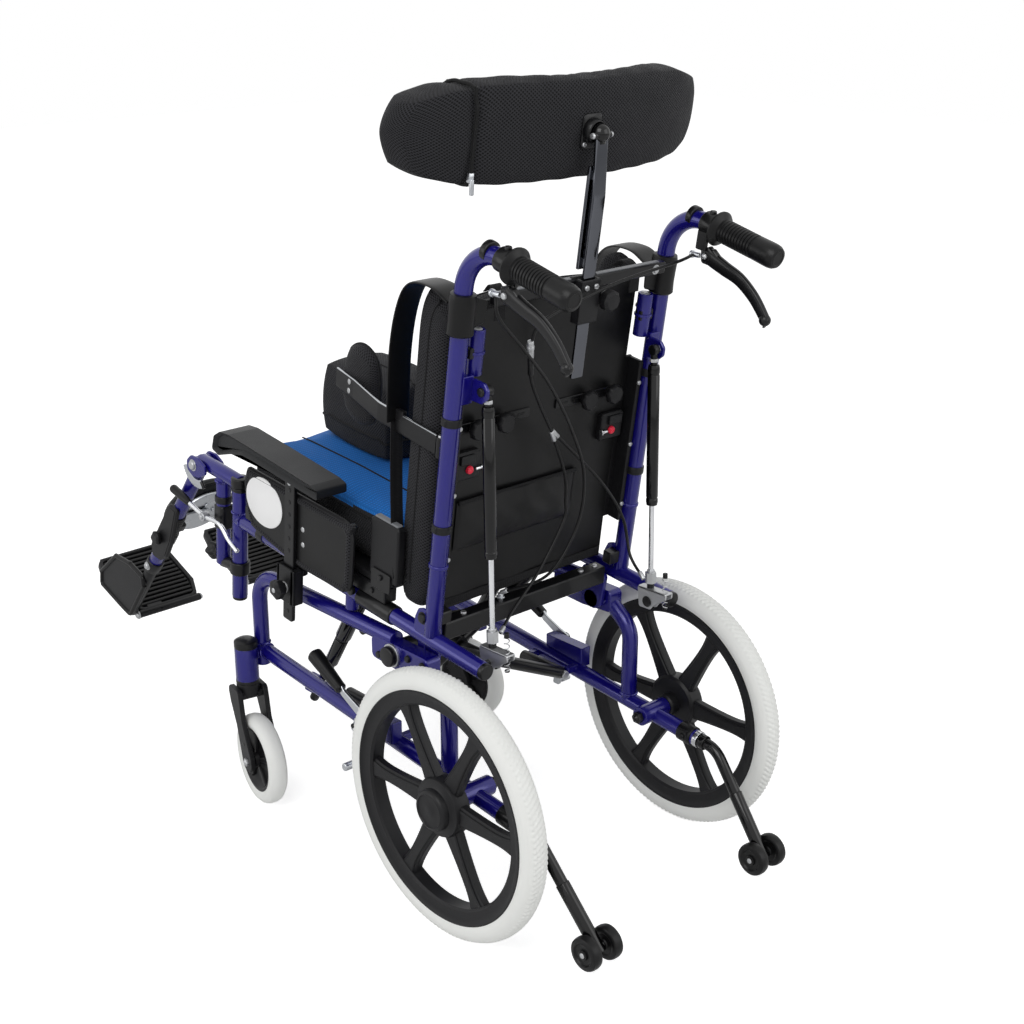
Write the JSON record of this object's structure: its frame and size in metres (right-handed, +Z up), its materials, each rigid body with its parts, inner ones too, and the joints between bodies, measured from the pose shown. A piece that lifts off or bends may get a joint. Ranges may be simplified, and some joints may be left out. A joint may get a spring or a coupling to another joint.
{
  "type": "tilt in space wheelchair",
  "caption": "Tilt in space wheelchair with reclining back, headrest, elevating leg rests and anti tip bars.",
  "frame": {"origin": "on the floor, under the middle of the chair's outline", "axes": "+Z up, -Y the way the user faces, +X the user's left"},
  "size_m": [0.564, 1.3508, 1.1974],
  "materials": {
    "blue_paint": "gloss",
    "black_metal": "satin",
    "chrome": "gloss",
    "zinc": "satin",
    "black_plastic": "matte",
    "black_rubber": "matte",
    "pale_tyre": "matte",
    "black_mesh": "matte",
    "blue_mesh": "matte",
    "pad_skin": "satin"
  },
  "bodies": {
    "base": {"base_frame_left": "blue_paint", "base_frame_right": "blue_paint", "cross_brace_a": "black_metal", "cross_brace_b": "black_metal"},
    "seat": {"seat_rail_left": "blue_paint", "seat_rail_right": "blue_paint", "seat_pan": "black_metal", "seat_cushion": "blue_mesh", "pommel": "black_mesh"},
    "back": {"cane_left": "blue_paint", "cane_right": "blue_paint", "back_panel": "black_plastic", "back_cushion": "black_mesh", "head_carrier": "black_metal", "grip_left": "black_rubber", "grip_right": "black_rubber", "recline_cable": "black_rubber", "tilt_cable": "black_rubber"},
    "headrest_stem": {"headrest_stem": "chrome"},
    "headrest_pad": {"headrest_pad": "black_mesh"},
    "rear_wheel_left": {"rear_rim_left": "black_plastic", "rear_tyre_left": "pale_tyre"},
    "caster_fork_left": {"caster_fork_left": "black_metal"},
    "caster_wheel_left": {"caster_wheel_left": "pale_tyre"},
    "anti_tip_tube_left": {"anti_tip_tube_left": "black_metal"},
    "anti_tip_wheels_left": {"anti_tip_wheels_left": "black_rubber"},
    "wheel_lock_left": {"wheel_lock_left": "black_metal"},
    "tilt_rod_left": {"tilt_rod_left": "chrome"},
    "tilt_cylinder_left": {"tilt_cylinder_left": "black_metal"},
    "arm_left": {"arm_frame_left": "black_mesh", "arm_pad_left": "pad_skin"},
    "leg_hanger_left": {"leg_hanger_left": "blue_paint"},
    "leg_tube_left": {"leg_tube_left": "blue_paint"},
    "footplate_left": {"footplate_left": "black_rubber"},
    "calf_pad_left": {"calf_pad_left": "black_mesh"},
    "leg_lever_left": {"leg_lever_left": "chrome"},
    "hand_lever_left": {"hand_lever_left": "black_metal"},
    "gas_rod_left": {"gas_rod_left": "zinc"},
    "gas_cylinder_left": {"gas_cylinder_left": "black_metal"},
    "lateral_left": {"lateral_left": "black_mesh"},
    "rear_wheel_right": {"rear_rim_right": "black_plastic", "rear_tyre_right": "pale_tyre"},
    "caster_fork_right": {"caster_fork_right": "black_metal"},
    "caster_wheel_right": {"caster_wheel_right": "pale_tyre"},
    "anti_tip_tube_right": {"anti_tip_tube_right": "black_metal"},
    "anti_tip_wheels_right": {"anti_tip_wheels_right": "black_rubber"},
    "wheel_lock_right": {"wheel_lock_right": "black_metal"},
    "tilt_rod_right": {"tilt_rod_right": "chrome"},
    "tilt_cylinder_right": {"tilt_cylinder_right": "black_metal"},
    "arm_right": {"arm_frame_right": "black_mesh", "arm_pad_right": "pad_skin"},
    "leg_hanger_right": {"leg_hanger_right": "blue_paint"},
    "leg_tube_right": {"leg_tube_right": "blue_paint"},
    "footplate_right": {"footplate_right": "black_rubber"},
    "calf_pad_right": {"calf_pad_right": "black_mesh"},
    "leg_lever_right": {"leg_lever_right": "chrome"},
    "hand_lever_right": {"hand_lever_right": "black_metal"},
    "gas_rod_right": {"gas_rod_right": "zinc"},
    "gas_cylinder_right": {"gas_cylinder_right": "black_metal"},
    "lateral_right": {"lateral_right": "black_mesh"}
  },
  "joints": [
    {"name": "seat_tilt", "type": "hinge", "parent": "base", "child": "seat", "pos_m": [0, 0.29035, 0.365], "axis": [-1, 0, 0], "range_deg": [0, 30]},
    {"name": "back_recline", "type": "hinge", "parent": "seat", "child": "back", "pos_m": [0, 0.32033, 0.44933], "axis": [-1, 0, 0], "range_deg": [0, 40], "deforming": ["recline_cable", "tilt_cable"]},
    {"name": "headrest_height", "type": "slide", "parent": "back", "child": "headrest_stem", "axis": [0, 0.1478, 0.989], "range_m": [0, 0.08]},
    {"name": "headrest_angle", "type": "hinge", "parent": "headrest_stem", "child": "headrest_pad", "pos_m": [0, 0.45605, 1.11862], "axis": [-1, 0, 0], "range_deg": [-20, 20]},
    {"name": "rear_wheel_spin_left", "type": "hinge", "parent": "base", "child": "rear_wheel_left", "pos_m": [0.2436, 0.41035, 0.203], "axis": [1, 0, 0], "continuous": true},
    {"name": "caster_swivel_left", "type": "hinge", "parent": "base", "child": "caster_fork_left", "pos_m": [0.22, -0.11765, 0], "axis": [0, 0, 1], "continuous": true},
    {"name": "caster_spin_left", "type": "hinge", "parent": "caster_fork_left", "child": "caster_wheel_left", "pos_m": [0.22695, -0.07826, 0.076], "axis": [0.9848, -0.1736, 0], "continuous": true},
    {"name": "anti_tip_turn_left", "type": "hinge", "parent": "base", "child": "anti_tip_tube_left", "pos_m": [0.188, 0.54235, 0.18694], "axis": [0, 0.9955, -0.0951], "range_deg": [0, 180]},
    {"name": "anti_tip_spin_left", "type": "hinge", "parent": "anti_tip_tube_left", "child": "anti_tip_wheels_left", "pos_m": [0.176, 0.65035, 0.057], "axis": [1, 0, 0], "continuous": true},
    {"name": "wheel_lock_turn_left", "type": "hinge", "parent": "base", "child": "wheel_lock_left", "pos_m": [0.2125, 0.18535, 0.248], "axis": [1, 0, 0], "range_deg": [0, 22]},
    {"name": "tilt_strut_swing_left", "type": "hinge", "parent": "base", "child": "tilt_rod_left", "pos_m": [0.16, 0.00735, 0.225], "axis": [-1, 0, 0], "range_deg": [-1, 3]},
    {"name": "tilt_strut_stroke_left", "type": "slide", "parent": "tilt_rod_left", "child": "tilt_cylinder_left", "axis": [0, 0.5319, 0.8468], "range_m": [-0.002, 0.09]},
    {"name": "gas_spring_swing_left", "type": "hinge", "parent": "seat", "child": "gas_rod_left", "pos_m": [0.161, 0.42219, 0.40443], "axis": [-1, 0, 0], "range_deg": [-1, 40]},
    {"name": "gas_spring_stroke_left", "type": "slide", "parent": "gas_rod_left", "child": "gas_cylinder_left", "axis": [0, -0.0201, 0.9998], "range_m": [-0.08, 0.002]},
    {"name": "arm_height_left", "type": "slide", "parent": "seat", "child": "arm_left", "axis": [0, 0.1045, 0.9945], "range_m": [0, 0.09]},
    {"name": "leg_swing_away_left", "type": "hinge", "parent": "seat", "child": "leg_hanger_left", "pos_m": [0.19, -0.16415, 0.41277], "axis": [0, 0.1045, 0.9945], "range_deg": [0, 90]},
    {"name": "leg_elevation_left", "type": "hinge", "parent": "leg_hanger_left", "child": "leg_tube_left", "pos_m": [0.19, -0.26173, 0.53665], "axis": [-1, 0, 0], "range_deg": [-25, 50]},
    {"name": "footplate_flip_left", "type": "hinge", "parent": "leg_tube_left", "child": "footplate_left", "pos_m": [0.166, -0.52531, 0.18156], "axis": [0, 0.9272, -0.3746], "range_deg": [0, 90]},
    {"name": "calf_pad_swing_left", "type": "hinge", "parent": "leg_tube_left", "child": "calf_pad_left", "pos_m": [0.19, -0.39093, 0.37364], "axis": [0, 0.6211, 0.7837], "range_deg": [0, 80]},
    {"name": "leg_release_left", "type": "hinge", "parent": "leg_hanger_left", "child": "leg_lever_left", "pos_m": [0.213, -0.22989, 0.45688], "axis": [1, 0, 0], "range_deg": [0, 8], "stiffness_Nm_per_rad": 2, "springref_deg": -2.86},
    {"name": "hand_lever_pull_left", "type": "hinge", "parent": "back", "child": "hand_lever_left", "pos_m": [0.1886, 0.48505, 0.93785], "axis": [1, 0, 0], "range_deg": [0, 18], "stiffness_Nm_per_rad": 2, "springref_deg": -5.73},
    {"name": "lateral_swing_left", "type": "hinge", "parent": "back", "child": "lateral_left", "pos_m": [0.188, 0.34759, 0.70612], "axis": [0, 0.1478, 0.989], "range_deg": [0, 80]},
    {"name": "rear_wheel_spin_right", "type": "hinge", "parent": "base", "child": "rear_wheel_right", "pos_m": [-0.2436, 0.41035, 0.203], "axis": [1, 0, 0], "continuous": true},
    {"name": "caster_swivel_right", "type": "hinge", "parent": "base", "child": "caster_fork_right", "pos_m": [-0.22, -0.11765, 0], "axis": [0, 0, 1], "continuous": true},
    {"name": "caster_spin_right", "type": "hinge", "parent": "caster_fork_right", "child": "caster_wheel_right", "pos_m": [-0.22695, -0.07826, 0.076], "axis": [0.9848, 0.1736, 0], "continuous": true},
    {"name": "anti_tip_turn_right", "type": "hinge", "parent": "base", "child": "anti_tip_tube_right", "pos_m": [-0.188, 0.54235, 0.18694], "axis": [0, -0.9955, 0.0951], "range_deg": [0, 180]},
    {"name": "anti_tip_spin_right", "type": "hinge", "parent": "anti_tip_tube_right", "child": "anti_tip_wheels_right", "pos_m": [-0.176, 0.65035, 0.057], "axis": [1, 0, 0], "continuous": true},
    {"name": "wheel_lock_turn_right", "type": "hinge", "parent": "base", "child": "wheel_lock_right", "pos_m": [-0.2125, 0.18535, 0.248], "axis": [1, 0, 0], "range_deg": [0, 22]},
    {"name": "tilt_strut_swing_right", "type": "hinge", "parent": "base", "child": "tilt_rod_right", "pos_m": [-0.16, 0.00735, 0.225], "axis": [-1, 0, 0], "range_deg": [-1, 3]},
    {"name": "tilt_strut_stroke_right", "type": "slide", "parent": "tilt_rod_right", "child": "tilt_cylinder_right", "axis": [0, 0.5319, 0.8468], "range_m": [-0.002, 0.09]},
    {"name": "gas_spring_swing_right", "type": "hinge", "parent": "seat", "child": "gas_rod_right", "pos_m": [-0.161, 0.42219, 0.40443], "axis": [-1, 0, 0], "range_deg": [-1, 40]},
    {"name": "gas_spring_stroke_right", "type": "slide", "parent": "gas_rod_right", "child": "gas_cylinder_right", "axis": [0, -0.0201, 0.9998], "range_m": [-0.08, 0.002]},
    {"name": "arm_height_right", "type": "slide", "parent": "seat", "child": "arm_right", "axis": [0, 0.1045, 0.9945], "range_m": [0, 0.09]},
    {"name": "leg_swing_away_right", "type": "hinge", "parent": "seat", "child": "leg_hanger_right", "pos_m": [-0.19, -0.16415, 0.41277], "axis": [0, -0.1045, -0.9945], "range_deg": [0, 90]},
    {"name": "leg_elevation_right", "type": "hinge", "parent": "leg_hanger_right", "child": "leg_tube_right", "pos_m": [-0.19, -0.26173, 0.53665], "axis": [-1, 0, 0], "range_deg": [-25, 50]},
    {"name": "footplate_flip_right", "type": "hinge", "parent": "leg_tube_right", "child": "footplate_right", "pos_m": [-0.166, -0.52531, 0.18156], "axis": [0, -0.9272, 0.3746], "range_deg": [0, 90]},
    {"name": "calf_pad_swing_right", "type": "hinge", "parent": "leg_tube_right", "child": "calf_pad_right", "pos_m": [-0.19, -0.39093, 0.37364], "axis": [0, -0.6211, -0.7837], "range_deg": [0, 80]},
    {"name": "leg_release_right", "type": "hinge", "parent": "leg_hanger_right", "child": "leg_lever_right", "pos_m": [-0.213, -0.22989, 0.45688], "axis": [1, 0, 0], "range_deg": [0, 8], "stiffness_Nm_per_rad": 2, "springref_deg": -2.86},
    {"name": "hand_lever_pull_right", "type": "hinge", "parent": "back", "child": "hand_lever_right", "pos_m": [-0.1886, 0.48505, 0.93785], "axis": [1, 0, 0], "range_deg": [0, 18], "stiffness_Nm_per_rad": 2, "springref_deg": -5.73},
    {"name": "lateral_swing_right", "type": "hinge", "parent": "back", "child": "lateral_right", "pos_m": [-0.188, 0.34759, 0.70612], "axis": [0, -0.1478, -0.989], "range_deg": [0, 80]}
  ],
  "couplings": [
    {"joint": "tilt_strut_swing_left", "follows": "seat_tilt", "ratio": 0.064},
    {"joint": "tilt_strut_stroke_left", "follows": "seat_tilt", "m_per_rad": 0.1637},
    {"joint": "gas_spring_swing_left", "follows": "back_recline", "ratio": 0.97},
    {"joint": "gas_spring_stroke_left", "follows": "back_recline", "m_per_rad": -0.1086},
    {"joint": "tilt_strut_swing_right", "follows": "seat_tilt", "ratio": 0.064},
    {"joint": "tilt_strut_stroke_right", "follows": "seat_tilt", "m_per_rad": 0.1637},
    {"joint": "gas_spring_swing_right", "follows": "back_recline", "ratio": 0.97},
    {"joint": "gas_spring_stroke_right", "follows": "back_recline", "m_per_rad": -0.1086}
  ]
}
